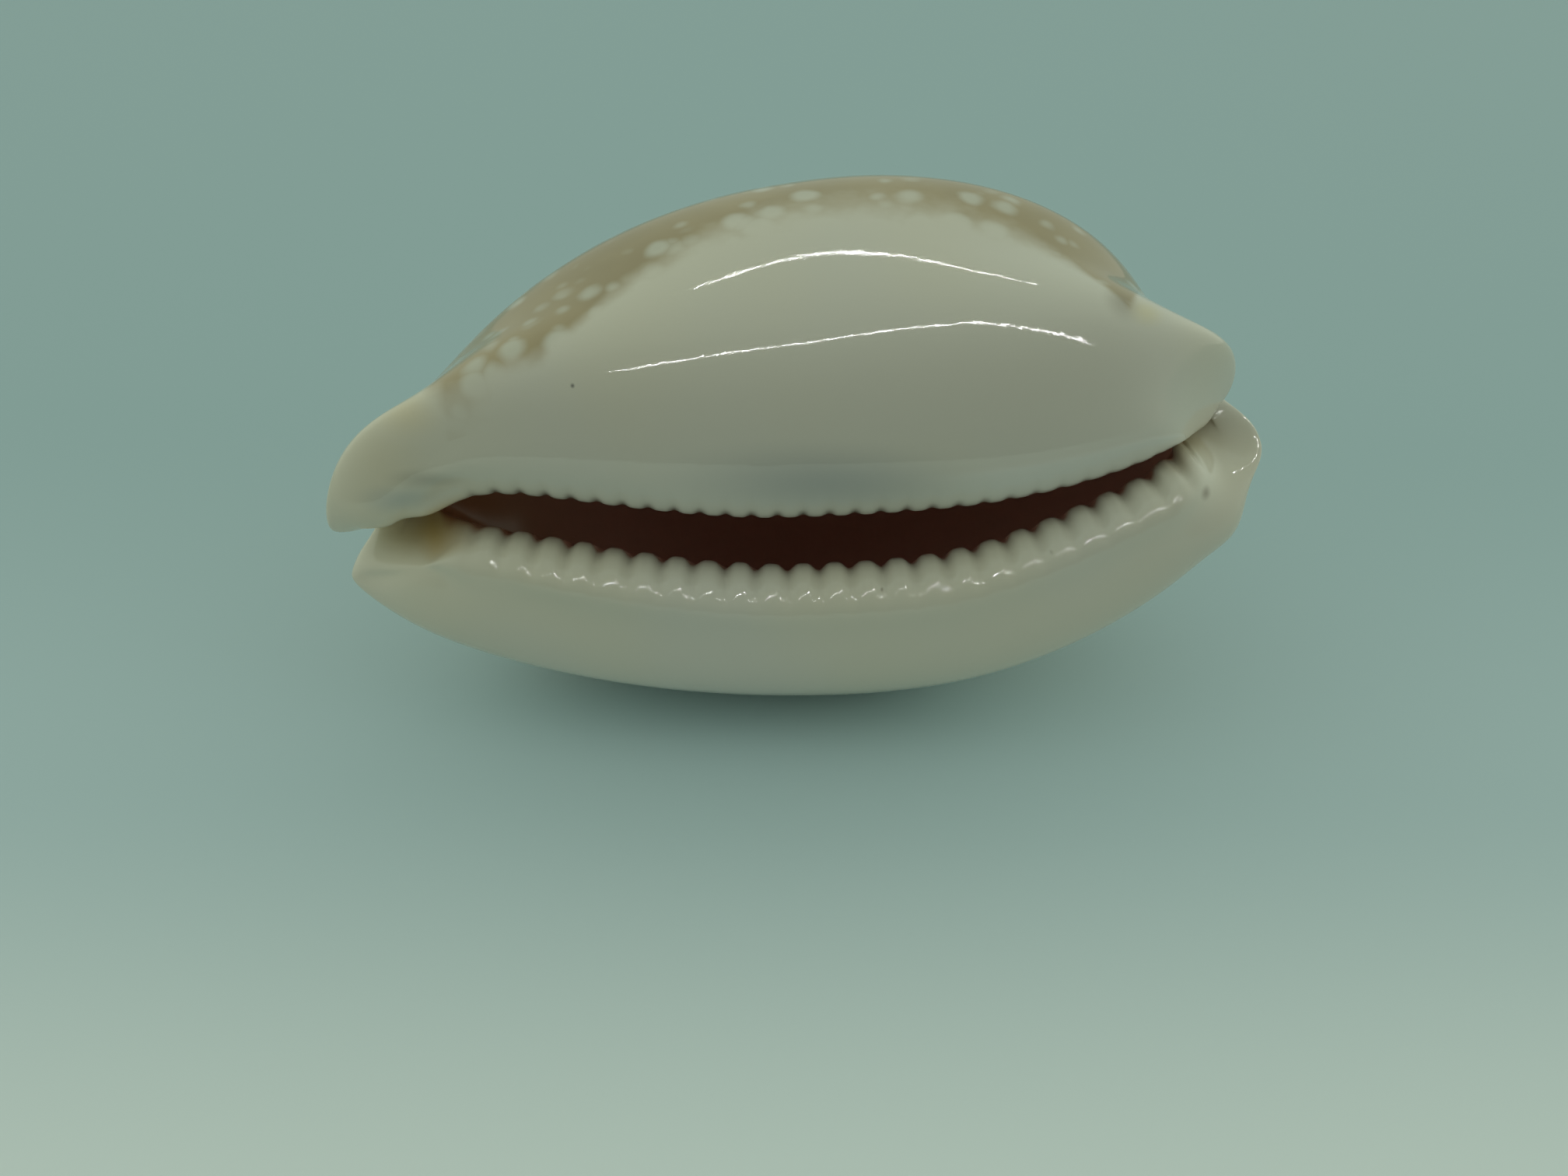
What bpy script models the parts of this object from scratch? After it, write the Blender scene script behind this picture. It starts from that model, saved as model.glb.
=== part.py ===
"""Camel cowry shell, one closed hollow piece, in the pose it lies in: on the side of its outer lip.

The wall is a smooth loft through closed rails that run round the aperture: from the ridge of the back,
over the side, the margin and the toothed lips, and on through the slot to the inside of the hollow.
Sizes are millimetres in the shell's own frame: +X to the back end, +Y to the outer lip, +Z to the ridge,
with Z = 0 about the level of the base.
"""
import math

import bmesh
import bpy
import numpy as np
from mathutils import Matrix, Vector

MM = 0.001

# Pose: how far the base looks up, and how far the back end is raised.
BASE_LOOKS_UP = 9.5
BACK_END_RAISED = 6.7
FLAT_SPOT_DEPTH = 0.4

# Ridge of the back: its top, where that is, how it drops to each end, and the line it follows.
RIDGE_TOP = 32.0
RIDGE_TOP_X = 3.0
RIDGE_DROP_BACK = 0.028
RIDGE_DROP_FRONT = 0.022
RIDGE_Y = -3.2
BODY_TURN = -3.2
ROOF_WALL = 1.7

# Slot line: how far it bows to the outer lip, how it turns away at each end, and how it hooks there.
SLOT_BOW = 0.9
SLOT_BOW_X = 8.7
SLOT_TURN_BACK = 0.011
SLOT_TURN_FRONT = 0.0028
SLOT_HOOK = 0.0006
SLOT_HOOK_X = 18.0
# Both lips stand aside to the inner side in front, and the outer lip closes on the slot at the back:
# how far, between which x it grows, and between which x it is given back.
ASIDE = (1.4, (-2.0, -22.0), (-24.0, -31.0), 1.0)
CLOSING = (1.9, (6.0, 25.0), (26.5, 31.0), 0.6)

# Canals: how far each end canal cuts into the rails, along and up, and its half-width.
CANAL_BACK = (2.0, 4.8, 2.7)
CANAL_FRONT = (3.5, 4.0, 2.7)
# Each lip's end stands off from the other's: how far the outer lip lies further back than the inner
# one, at the back end and at the front end, and how much further out from the base.
LIP_LEAD_BACK = 1.4
LIP_LEAD_FRONT = -0.4
LIP_DROP_BACK = 1.2
LIP_DROP_FRONT = 1.1

# Each rail: reach to the back end and to the front end, half-width on the outer-lip side and on the
# inner-lip side, height on those two sides, height at the back end and at the front end, how square
# it is at the back end and at the front end (2 is an ellipse), how much it widens backwards, how far
# it follows the slot line, and how deeply the canals cut it.
RAILS = {
    "upper":  (20.4, 21.2, 11.7, 15.0, 29.8, 30.0, 24.7, 20.5, 1.8, 1.8, 0.07, 0.00, 0.0),
    "side":   (28.1, 22.6, 14.0, 18.0, 20.3, 21.4, 16.3, 12.3, 1.8, 1.8, 0.09, 0.15, 0.0),
    "crease": (25.8, 27.0, 14.6, 21.5, 11.6, 14.2, 10.0, 8.2, 2.4, 2.4, 0.01, 0.40, 0.1),
    "margin": (29.5, 31.6, 13.9, 19.3, 5.8, 5.8, 8.2, 4.4, 1.7, 1.7, 0.06, 0.70, 0.6),
    "base":   (32.7, 34.0, 11.4, 15.2, 0.6, -0.3, 3.3, 2.4, 2.5, 2.5, 0.05, 0.90, 1.0),
    "inner":  (30.8, 31.2, 7.8, 9.8, -0.7, -1.9, 1.9, 1.9, 2.0, 1.7, 0.02, 1.00, 1.0),
    "crest":  (31.2, 31.2, 2.9, 4.3, -1.0, -1.1, 2.8, 2.8, 2.6, 3.0, -0.03, 1.00, 1.0),
    "edge":   (29.5, 29.9, 0.9, 1.8, 0.5, 1.3, 4.1, 4.3, 2.4, 2.7, -0.03, 1.00, 1.0),
    "back":   (27.4, 28.1, 2.6, 2.4, 5.1, 4.8, 6.9, 6.4, 2.0, 1.7, -0.01, 1.00, 0.3),
    "throat": (25.5, 24.0, 6.5, 6.5, 5.6, 5.4, 8.0, 7.8, 2.1, 2.1, 0.0, 0.95, 0.0),
    "floor":  (24.6, 21.5, 11.0, 14.0, 6.6, 6.6, 9.2, 8.8, 2.1, 2.1, 0.0, 0.80, 0.0),
    "wall":   (24.6, 19.5, 12.0, 16.4, 13.0, 14.0, 12.5, 11.0, 2.1, 2.1, 0.0, 0.40, 0.0),
    "vault":  (23.5, 17.5, 11.6, 15.3, 21.0, 21.5, 18.0, 14.0, 2.0, 2.0, 0.05, 0.10, 0.0),
    "crown":  (17.5, 14.5, 9.6, 12.4, 28.2, 28.4, 23.5, 20.0, 1.9, 1.9, 0.08, 0.00, 0.0),
}
# Ridge rails: half-lengths to the back and to the front, half-widths on the two sides, wall above.
RIDGES = {
    "spine":   (8.0, 9.0, 0.0, 0.0, 0.0),
    "high":    (14.0, 15.0, 5.5, 8.0, 0.0),
    "rafters": (11.5, 12.0, 4.5, 6.5, ROOF_WALL),
    "roof":    (6.0, 7.0, 0.0, 0.0, ROOF_WALL),
}
ORDER = ["spine", "high", "upper", "side", "crease", "margin", "base", "inner", "crest", "edge",
         "back", "throat", "floor", "wall", "vault", "crown", "rafters", "roof"]

# Soft swellings of the outside: centre, reach each way, and push.
SWELLINGS = {
    "front tongue":   ((-31.0, -6.0, 2.0), (5.5, 4.5, 4.0), (-0.5, 5.2, -2.4)),
    "front shoulder": ((-30.0, -10.0, 4.0), (4.0, 3.5, 4.0), (-1.0, -0.3, 0.0)),
    "front waist":    ((-25.0, -13.0, 3.0), (3.5, 3.0, 4.0), (0.0, 0.6, 0.0)),
    "front knob":     ((-27.0, -3.8, 2.0), (2.8, 1.9, 3.0), (0.0, 1.7, -0.3)),
    "knob hollow":    ((-24.3, -6.4, 1.0), (2.2, 0.9, 3.0), (0.0, 0.0, 0.7)),
    "front lobe":     ((-30.0, 1.0, 3.0), (4.5, 3.0, 4.0), (-0.2, 0.0, 1.4)),
    "back beak":      ((29.0, -8.0, 2.5), (4.5, 3.5, 4.5), (0.0, 2.0, 3.3)),
    "beak top":       ((25.5, -12.0, 5.0), (4.5, 4.0, 5.0), (0.0, 0.9, 0.0)),
    "back canal":     ((27.0, -3.0, 3.5), (3.0, 2.0, 3.0), (0.0, -0.8, 0.0)),
    "beak edge":      ((29.0, -5.5, 1.5), (3.5, 2.8, 4.0), (0.1, 2.2, -0.5)),
    "back lobe":      ((31.0, 0.0, 6.0), (4.5, 4.0, 4.0), (-3.0, 1.0, 3.4)),
    "back flank":     ((28.5, 1.5, 2.0), (2.5, 2.5, 3.0), (0.6, 0.5, 0.0)),
    "resting side":   ((7.0, 14.5, 12.0), (12.0, 8.0, 7.0), (0.0, 1.5, 0.0)),
}

# Teeth: how many, from where to where along the lip (x), their height, how much of it is left at the
# back end, and where across the lip they fade in and out. At each end of a lip they grow in over the
# first few teeth.
OUTER_TEETH = (26, -24.0, 26.4, 0.5, 1.0, (6.2, 7.1, 8.4, 9.6))
INNER_TEETH = (30, -23.0, 25.0, 0.15, 0.3, (6.8, 7.5, 8.4, 9.6))
TEETH_GROW_IN = 2.5
SAMPLES_PER_TOOTH = 4
END_SAMPLES_BACK = 30
END_SAMPLES_FRONT = 32


def powered(value, square):
    return np.sign(value) * np.abs(value) ** (2.0 / square)


def eased(value):
    value = np.clip(value, 0.0, 1.0)
    return value * value * (3.0 - 2.0 * value)


def slot_line(x):
    back = np.clip(x - SLOT_BOW_X, 0.0, None)
    front = np.clip(SLOT_BOW_X - x, 0.0, None)
    hook = np.clip(x - SLOT_HOOK_X, 0.0, None)
    return SLOT_BOW - SLOT_TURN_BACK * back ** 2 - SLOT_TURN_FRONT * front ** 2 - SLOT_HOOK * hook ** 3


def grown(x, shift):
    """A shift that grows between two places along the shell, and is partly given back between two others."""
    size, (start, full), (hold, end), given_back = shift
    return size * eased((x - start) / (full - start)) * (1.0 - given_back * eased((x - hold) / (end - hold)))


def slot_foot(points):
    """Where along the slot line each point lies, measured square to that line."""
    x, y = points[..., 0], points[..., 1]
    slope = (slot_line(x + 0.01) - slot_line(x - 0.01)) / 0.02
    return x + (y - slot_line(x)) * slope


def ridge_height(x):
    along = x - RIDGE_TOP_X
    return RIDGE_TOP - np.where(along > 0, RIDGE_DROP_BACK, RIDGE_DROP_FRONT) * along ** 2


def ridge_rail(name, turn):
    back, front, outer, inner, wall = RIDGES[name]
    x = np.where(np.cos(turn) > 0, back, front) * np.cos(turn)
    y = RIDGE_Y + np.where(np.sin(turn) > 0, outer, inner) * np.sin(turn) * (1 + 0.1 * np.cos(turn))
    return np.stack([x, y, ridge_height(x) - wall], -1)


def rail(name, turn):
    """Points of one rail: turn is 0 at the back end, a quarter at the outer lip, a half at the front."""
    if name in RIDGES:
        return ridge_rail(name, turn)
    back, front, outer, inner, z_outer, z_inner, z_back, z_front, sq_back, sq_front, widen, follow, cut = RAILS[name]
    along, across = np.cos(turn), np.sin(turn)
    square = np.where(along > 0, sq_back, sq_front)
    to_end = powered(along, square)
    x = np.where(along > 0, back, front) * to_end
    y = np.where(across > 0, outer, inner) * powered(across, square) * (1 + widen * to_end)
    beside = np.abs(across) ** 1.5
    z = np.where(across > 0, z_outer, z_inner) * beside + np.where(along > 0, z_back, z_front) * (1 - beside)
    if cut:
        canal = np.where(along > 0, 1.0, 0.0)
        reach = canal * CANAL_BACK[0] - (1 - canal) * CANAL_FRONT[0]
        rise = canal * CANAL_BACK[1] + (1 - canal) * CANAL_FRONT[1]
        width = canal * CANAL_BACK[2] + (1 - canal) * CANAL_FRONT[2]
        depth = cut * np.exp(-(y / width) ** 2) * eased((np.abs(x) - 24.0) / 6.0)
        z = z + depth * rise
        x = x - depth * reach
        lip = math.sqrt(cut) * (2.0 * eased(y / 5.0 + 0.5) - 1.0) * np.abs(along) ** 3
        x = x + lip * np.where(along > 0, LIP_LEAD_BACK, LIP_LEAD_FRONT)
        z = z - lip * np.where(along > 0, LIP_DROP_BACK, LIP_DROP_FRONT)
    if follow == 1:
        y = y - grown(x, ASIDE) - grown(x, CLOSING) * eased(across)
    y = y + follow * slot_line(x) + (1 - follow) * (0.5 * RIDGE_Y + BODY_TURN * x / 30.0)
    return np.stack([x, y, z], -1)


def blend(count, at):
    """Cubic B-spline weights of the rails at these places, clamped at both ends."""
    knots = np.concatenate([np.zeros(3), np.arange(count - 2, dtype=float), np.full(3, count - 3.0)])
    at = np.clip(np.asarray(at, float), 0.0, count - 3.0 - 1e-9)
    weights = [((knots[i] <= at) & (at < knots[i + 1])).astype(float) for i in range(len(knots) - 1)]
    for degree in (1, 2, 3):
        raised = []
        for i in range(len(weights) - 1):
            value = np.zeros_like(at)
            if knots[i + degree] > knots[i]:
                value = value + (at - knots[i]) / (knots[i + degree] - knots[i]) * weights[i]
            if knots[i + degree + 1] > knots[i + 1]:
                share = (knots[i + degree + 1] - at) / (knots[i + degree + 1] - knots[i + 1])
                value = value + share * weights[i + 1]
            raised.append(value)
        weights = raised
    return np.stack(weights, -1)


def wall_points(turn, across):
    """Points of the smooth wall at each turn (first index) and each place across the rails (second)."""
    rails = np.stack([rail(name, turn) for name in ORDER], 1)
    points = np.einsum("ar,trk->tak", blend(len(ORDER), across), rails)
    outside = (1.0 - eased((np.asarray(across) - 8.0) / 1.5))[None, :, None]
    moved = points.copy()
    for centre, reach, push in SWELLINGS.values():
        near = np.exp(-(((points - np.array(centre)) / np.array(reach)) ** 2).sum(-1))[..., None]
        moved += outside * near * np.array(push)
    return moved


def wall_normals(turn, across):
    step = 1e-3
    along = wall_points(turn + step, across) - wall_points(turn - step, across)
    over = wall_points(turn, np.asarray(across) + step) - wall_points(turn, np.asarray(across) - step)
    normal = np.cross(along, over)
    return normal / np.maximum(np.linalg.norm(normal, axis=-1, keepdims=True), 1e-12)


def tooth_steps(teeth):
    return np.arange(teeth[0] * SAMPLES_PER_TOOTH + 1) / SAMPLES_PER_TOOTH - 0.5


def lip_run(outer):
    """Turns from the front end to the back end, along the outer lip or the inner one."""
    clear = 0.12
    if outer:
        return np.linspace(math.pi - clear, clear, 1201)
    return np.linspace(math.pi + clear, 2 * math.pi - clear, 1201)


def tooth_feet(teeth, outer):
    """Place along the slot line of each sample of one lip, evenly spaced along the lip's edge."""
    count, x_first, x_last = teeth[:3]
    lip = wall_points(lip_run(outer), [7.4])[:, 0]
    length = np.concatenate([[0.0], np.cumsum(np.linalg.norm(np.diff(lip, axis=0), axis=1))])
    first, last = np.interp([x_first, x_last], lip[:, 0], length)
    pitch = (last - first) / (count - 1)
    return np.interp(first + tooth_steps(teeth) * pitch, length, slot_foot(lip))


def ring_turns(place, feet_outer, feet_inner):
    """Turns of one ring's samples: they follow the teeth along each lip, and are even round each end."""
    run_outer, run_inner = lip_run(True), lip_run(False)
    outer = np.interp(feet_outer, slot_foot(wall_points(run_outer, [place])[:, 0]), run_outer)
    inner = np.interp(feet_inner, slot_foot(wall_points(run_inner, [place])[:, 0]), run_inner)
    front = np.linspace(outer[0], inner[0], END_SAMPLES_FRONT + 2)[1:-1]
    back = np.linspace(inner[-1], outer[-1] + 2 * math.pi, END_SAMPLES_BACK + 2)[1:-1]
    return np.concatenate([outer[::-1], front, inner, back])


def tooth_lift(teeth, place):
    """Height of one lip's teeth over the smooth wall, at each of its samples."""
    count, height, left, (start, full, hold, stop) = teeth[0], teeth[3], teeth[4], teeth[5]
    steps = tooth_steps(teeth)
    shown = eased((place - start) / (full - start)) * (1.0 - eased((place - hold) / (stop - hold)))
    crest = 1.0 - (0.5 - 0.5 * np.cos(2 * math.pi * steps)) ** 2
    ends = eased((steps + 0.5) / TEETH_GROW_IN) * eased((count - 0.5 - steps) / TEETH_GROW_IN)
    fading = 1.0 - (1.0 - left) * eased(2.0 * steps / count - 1.0)
    return height * fading * shown * ends * (crest - 0.6)


def lattice():
    """Rings of points, from the ridge round to the roof of the hollow: fine ones where the teeth are."""
    coarse = [0.12, 0.4, 0.75, 1.15, 1.55, 1.95, 2.35, 2.75, 3.15]
    medium = [3.5, 3.9, 4.3, 4.7]
    fine = [5.1, 5.6, 6.1, 6.55, 6.95, 7.3, 7.65, 8.1, 8.7]
    inside_medium = [9.4]
    inside_coarse = [10.2, 11.0, 12.0, 13.0, 14.0, 14.85]
    feet_outer, feet_inner = tooth_feet(OUTER_TEETH, True), tooth_feet(INNER_TEETH, False)
    front_gap, back_gap = np.zeros(END_SAMPLES_FRONT), np.zeros(END_SAMPLES_BACK)
    rings = []
    for places, skip in ((coarse, 4), (medium, 2), (fine, 1), (inside_medium, 2), (inside_coarse, 4)):
        for place in places:
            turn = ring_turns(min(max(place, fine[0]), fine[-1]), feet_outer, feet_inner)[::skip]
            points = wall_points(turn, [place])[:, 0]
            if skip == 1:
                outer, inner = tooth_lift(OUTER_TEETH, place), tooth_lift(INNER_TEETH, place)
                lift = np.concatenate([outer[::-1], front_gap, inner, back_gap])
                points = points + wall_normals(turn, [place])[:, 0] * lift[:, None]
            rings.append(points)
    return rings


def joined(bm, rings):
    """Faces between neighbouring rings, also where one has twice the points of the other."""
    made = [[bm.verts.new(Vector(point)) for point in ring] for ring in rings]
    bm.faces.new(made[0])
    bm.faces.new(made[-1][::-1])
    for near, far in zip(made, made[1:]):
        if len(near) == len(far):
            count = len(near)
            for i in range(count):
                j = (i + 1) % count
                bm.faces.new((near[i], near[j], far[j], far[i]))
            continue
        flipped = len(near) > len(far)
        few, many = (far, near) if flipped else (near, far)
        for i in range(len(few)):
            j = (i + 1) % len(few)
            a, b, c = many[2 * i], many[2 * i + 1], many[(2 * i + 2) % len(many)]
            for face in ((few[i], b, a), (few[i], few[j], b), (few[j], c, b)):
                bm.faces.new(face[::-1] if flipped else face)


def shell():
    bm = bmesh.new()
    joined(bm, lattice())
    turned = Matrix.Rotation(-math.radians(BACK_END_RAISED), 4, "Y")
    turned = turned @ Matrix.Rotation(-math.radians(90 + BASE_LOOKS_UP), 4, "X")
    bmesh.ops.transform(bm, matrix=Matrix.Scale(MM, 4) @ turned, verts=bm.verts)
    lowest = min(vert.co.z for vert in bm.verts) + FLAT_SPOT_DEPTH * MM
    everything = list(bm.verts) + list(bm.edges) + list(bm.faces)
    cut = bmesh.ops.bisect_plane(bm, geom=everything, dist=1e-7, plane_co=(0, 0, lowest),
                                 plane_no=(0, 0, -1), clear_outer=True)
    rim = [item for item in cut["geom_cut"] if isinstance(item, bmesh.types.BMEdge)]
    bmesh.ops.contextual_create(bm, geom=rim)
    bmesh.ops.recalc_face_normals(bm, faces=bm.faces)
    low = Vector([min(vert.co[i] for vert in bm.verts) for i in range(3)])
    high = Vector([max(vert.co[i] for vert in bm.verts) for i in range(3)])
    middle = Vector(((low.x + high.x) / 2, (low.y + high.y) / 2, low.z))
    bmesh.ops.translate(bm, verts=bm.verts, vec=-middle)
    bmesh.ops.triangulate(bm, faces=bm.faces)
    mesh = bpy.data.meshes.new("cowry_shell")
    bm.to_mesh(mesh)
    bm.free()
    return bpy.data.objects.new("cowry_shell", mesh)


def glaze():
    material = bpy.data.materials.new("glossy_shell")
    material.use_nodes = True
    shader = material.node_tree.nodes["Principled BSDF"]
    shader.inputs["Base Color"].default_value = (0.72, 0.68, 0.56, 1)
    shader.inputs["Roughness"].default_value = 0.2
    return material


for obj in list(bpy.data.objects):
    bpy.data.objects.remove(obj)
cowry = shell()
cowry.data.materials.append(glaze())
bpy.context.scene.collection.objects.link(cowry)
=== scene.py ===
"""Camel cowry shell, lying on the side of its outer lip, on a plain pale floor in soft studio light.

The wall, the lip teeth and the glaze are one grown piece. Sizes of the shell are millimetres in its own
frame: +X to the back end, +Y to the outer lip, +Z to the ridge of the back, with Z = 0 at the base.
"""
import math

import bmesh
import bpy
import numpy as np
from mathutils import Matrix, Vector


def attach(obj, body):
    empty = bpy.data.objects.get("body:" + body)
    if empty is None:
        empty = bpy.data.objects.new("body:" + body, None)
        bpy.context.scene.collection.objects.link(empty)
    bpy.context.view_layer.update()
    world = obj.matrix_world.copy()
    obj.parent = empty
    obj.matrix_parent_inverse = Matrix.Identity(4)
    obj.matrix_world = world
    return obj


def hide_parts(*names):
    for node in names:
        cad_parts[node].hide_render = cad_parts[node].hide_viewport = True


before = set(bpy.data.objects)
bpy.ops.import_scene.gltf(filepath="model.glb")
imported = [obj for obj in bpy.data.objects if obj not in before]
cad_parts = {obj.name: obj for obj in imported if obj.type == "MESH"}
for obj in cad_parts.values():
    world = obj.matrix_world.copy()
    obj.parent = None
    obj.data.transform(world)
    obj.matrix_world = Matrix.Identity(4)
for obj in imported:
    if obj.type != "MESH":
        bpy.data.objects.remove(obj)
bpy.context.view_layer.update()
MM = 0.001

# The camera stands a little above the shell, about a third of the way up to straight overhead, and is
# rolled slightly, as in a hand-held close-up. It looks at the base of the shell and into its slot.
CAMERA_AT = (-5.2, -91.2, 64.1)
CAMERA_DOWN = 34.0
CAMERA_ROLL = 2.6
CAMERA_TURN = 3.2
camera_data = bpy.data.cameras.new("close_up_camera")
camera_data.sensor_width = 36.0
camera_data.lens = 31.25
camera_data.clip_start = 0.001
close_up = bpy.data.objects.new("close_up_camera", camera_data)
bpy.context.scene.collection.objects.link(close_up)
aimed = Matrix.Rotation(-math.radians(CAMERA_TURN), 4, "Z")
aimed = aimed @ Matrix.Rotation(math.radians(90.0 - CAMERA_DOWN), 4, "X")
aimed = aimed @ Matrix.Rotation(math.radians(CAMERA_ROLL), 4, "Z")
close_up.matrix_world = Matrix.Translation(Vector(CAMERA_AT) * MM) @ aimed
bpy.context.scene.camera = close_up

# The wall of the shell: one smooth sheet of porcelain-like shell, laid down by the mantle in a closed egg
# that rolls in at both lips. It is lofted through closed rails that run round the slot, from the ridge of
# the back over the side, the margin and the lips, and on through the slot to the roof of the hollow.
BASE_LOOKS_UP = 9.5
BACK_END_RAISED = 6.7
FLAT_SPOT_DEPTH = 0.4
RIDGE_TOP = 32.0
RIDGE_TOP_X = 3.0
RIDGE_DROP_BACK = 0.028
RIDGE_DROP_FRONT = 0.022
RIDGE_Y = -3.2
RIDGE_WIDEN = 0.1
# The body turns aside by this much over this length along the shell.
BODY_TURN = -3.2
BODY_TURN_OVER = 30.0
ROOF_WALL = 1.7
SLOT_BOW = 0.9
SLOT_BOW_X = 8.7
SLOT_TURN_BACK = 0.011
SLOT_TURN_FRONT = 0.0028
SLOT_HOOK = 0.0006
SLOT_HOOK_X = 18.0
# How far both lips stand aside in front, and how far the outer lip closes on the slot at the back:
# the size, between which x it grows, and between which x it is given back.
ASIDE = (1.4, (-2.0, -22.0), (-24.0, -31.0), 1.0)
CLOSING = (1.9, (6.0, 25.0), (26.5, 31.0), 0.6)
# Each canal: how far it cuts back, how deep, and its half-width. Both begin at the same distance out.
CANAL_BACK = (2.0, 4.8, 2.7)
CANAL_FRONT = (3.5, 4.0, 2.7)
CANAL_START = 24.0
CANAL_RUN_IN = 6.0
# How far the outer lip leads the inner one at the two ends, and how far it drops there, changing over
# this width across the slot.
LIP_CHANGE_WIDTH = 5.0
LIP_LEAD_BACK = 1.4
LIP_LEAD_FRONT = -0.4
LIP_DROP_BACK = 1.2
LIP_DROP_FRONT = 1.1
# Each rail: reach to the back end and to the front end, half-width on the outer-lip side and on the
# inner-lip side, height on those two sides, height at the back end and at the front end, how square
# it is at the two ends, how much it widens backwards, how far it follows the slot, how far canals cut.
# Between an end and a side, a rail's height changes by this power of how far round it has come.
HEIGHT_POWER = 1.5
RAILS = {
    "upper":  (20.4, 21.2, 11.7, 15.0, 29.8, 30.0, 24.7, 20.5, 1.8, 1.8, 0.07, 0.00, 0.0),
    "side":   (28.1, 22.6, 14.0, 18.0, 20.3, 21.4, 16.3, 12.3, 1.8, 1.8, 0.09, 0.15, 0.0),
    "crease": (25.8, 27.0, 14.6, 21.5, 11.6, 14.2, 10.0, 8.2, 2.4, 2.4, 0.01, 0.40, 0.1),
    "margin": (29.5, 31.6, 13.9, 19.3, 5.8, 5.8, 8.2, 4.4, 1.7, 1.7, 0.06, 0.70, 0.6),
    "base":   (32.7, 34.0, 11.4, 15.2, 0.6, -0.3, 3.3, 2.4, 2.5, 2.5, 0.05, 0.90, 1.0),
    "inner":  (30.8, 31.2, 7.8, 9.8, -0.7, -1.9, 1.9, 1.9, 2.0, 1.7, 0.02, 1.00, 1.0),
    "crest":  (31.2, 31.2, 2.9, 4.3, -1.0, -1.1, 2.8, 2.8, 2.6, 3.0, -0.03, 1.00, 1.0),
    "edge":   (29.5, 29.9, 0.9, 1.8, 0.5, 1.3, 4.1, 4.3, 2.4, 2.7, -0.03, 1.00, 1.0),
    "back":   (27.4, 28.1, 2.6, 2.4, 5.1, 4.8, 6.9, 6.4, 2.0, 1.7, -0.01, 1.00, 0.3),
    "throat": (25.5, 24.0, 6.5, 6.5, 5.6, 5.4, 8.0, 7.8, 2.1, 2.1, 0.0, 0.95, 0.0),
    "floor":  (24.6, 21.5, 11.0, 14.0, 6.6, 6.6, 9.2, 8.8, 2.1, 2.1, 0.0, 0.80, 0.0),
    "wall":   (24.6, 19.5, 12.0, 16.4, 13.0, 14.0, 12.5, 11.0, 2.1, 2.1, 0.0, 0.40, 0.0),
    "vault":  (23.5, 17.5, 11.6, 15.3, 21.0, 21.5, 18.0, 14.0, 2.0, 2.0, 0.05, 0.10, 0.0),
    "crown":  (17.5, 14.5, 9.6, 12.4, 28.2, 28.4, 23.5, 20.0, 1.9, 1.9, 0.08, 0.00, 0.0),
}
# Ridge rails: half-lengths to the back and to the front, half-widths on the two sides, depth below the top.
RIDGES = {
    "spine":   (8.0, 9.0, 0.0, 0.0, 0.0),
    "high":    (14.0, 15.0, 5.5, 8.0, 0.0),
    "rafters": (11.5, 12.0, 4.5, 6.5, ROOF_WALL),
    "roof":    (6.0, 7.0, 0.0, 0.0, ROOF_WALL),
}
ORDER = ["spine", "high", "upper", "side", "crease", "margin", "base", "inner", "crest", "edge",
         "back", "throat", "floor", "wall", "vault", "crown", "rafters", "roof"]
# Soft swellings and hollows of the outside: centre, reach each way, and push. They fade out through the
# slot, between these two places counted across the rails. The CAD model has all but the last two.
SWELLINGS_TO = (8.0, 9.5)
SWELLINGS = {
    "front tongue":   ((-31.0, -6.0, 2.0), (5.5, 4.5, 4.0), (-0.5, 5.2, -2.4)),
    "front shoulder": ((-30.0, -10.0, 4.0), (4.0, 3.5, 4.0), (-1.0, -0.3, 0.0)),
    "front waist":    ((-25.0, -13.0, 3.0), (3.5, 3.0, 4.0), (0.0, 0.6, 0.0)),
    "front knob":     ((-27.0, -3.8, 2.0), (2.8, 1.9, 3.0), (0.0, 1.7, -0.3)),
    "knob hollow":    ((-24.3, -6.4, 1.0), (2.2, 0.9, 3.0), (0.0, 0.0, 0.7)),
    "front lobe":     ((-30.0, 1.0, 3.0), (4.5, 3.0, 4.0), (-0.2, 0.0, 1.4)),
    "back beak":      ((29.0, -8.0, 2.5), (4.5, 3.5, 4.5), (0.0, 2.0, 3.3)),
    "beak top":       ((25.5, -12.0, 5.0), (4.5, 4.0, 5.0), (0.0, 0.9, 0.0)),
    "back canal":     ((27.0, -3.0, 3.5), (3.0, 2.0, 3.0), (0.0, -0.8, 0.0)),
    "beak edge":      ((29.0, -5.5, 1.5), (3.5, 2.8, 4.0), (0.1, 2.2, -0.5)),
    "back lobe":      ((31.0, 0.0, 6.0), (4.5, 4.0, 4.0), (-3.0, 1.0, 3.4)),
    "back flank":     ((28.5, 1.5, 2.0), (2.5, 2.5, 3.0), (0.6, 0.5, 0.0)),
    "resting side":   ((7.0, 14.5, 12.0), (12.0, 8.0, 7.0), (0.0, 1.5, 0.0)),
    "canal floor":    ((-28.8, -1.3, 5.2), (3.0, 1.8, 2.2), (-0.6, -0.2, -1.1)),
    "canal bank":     ((-26.3, -0.9, 4.0), (2.4, 1.5, 2.0), (0.0, -0.4, -1.3)),
}
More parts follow.
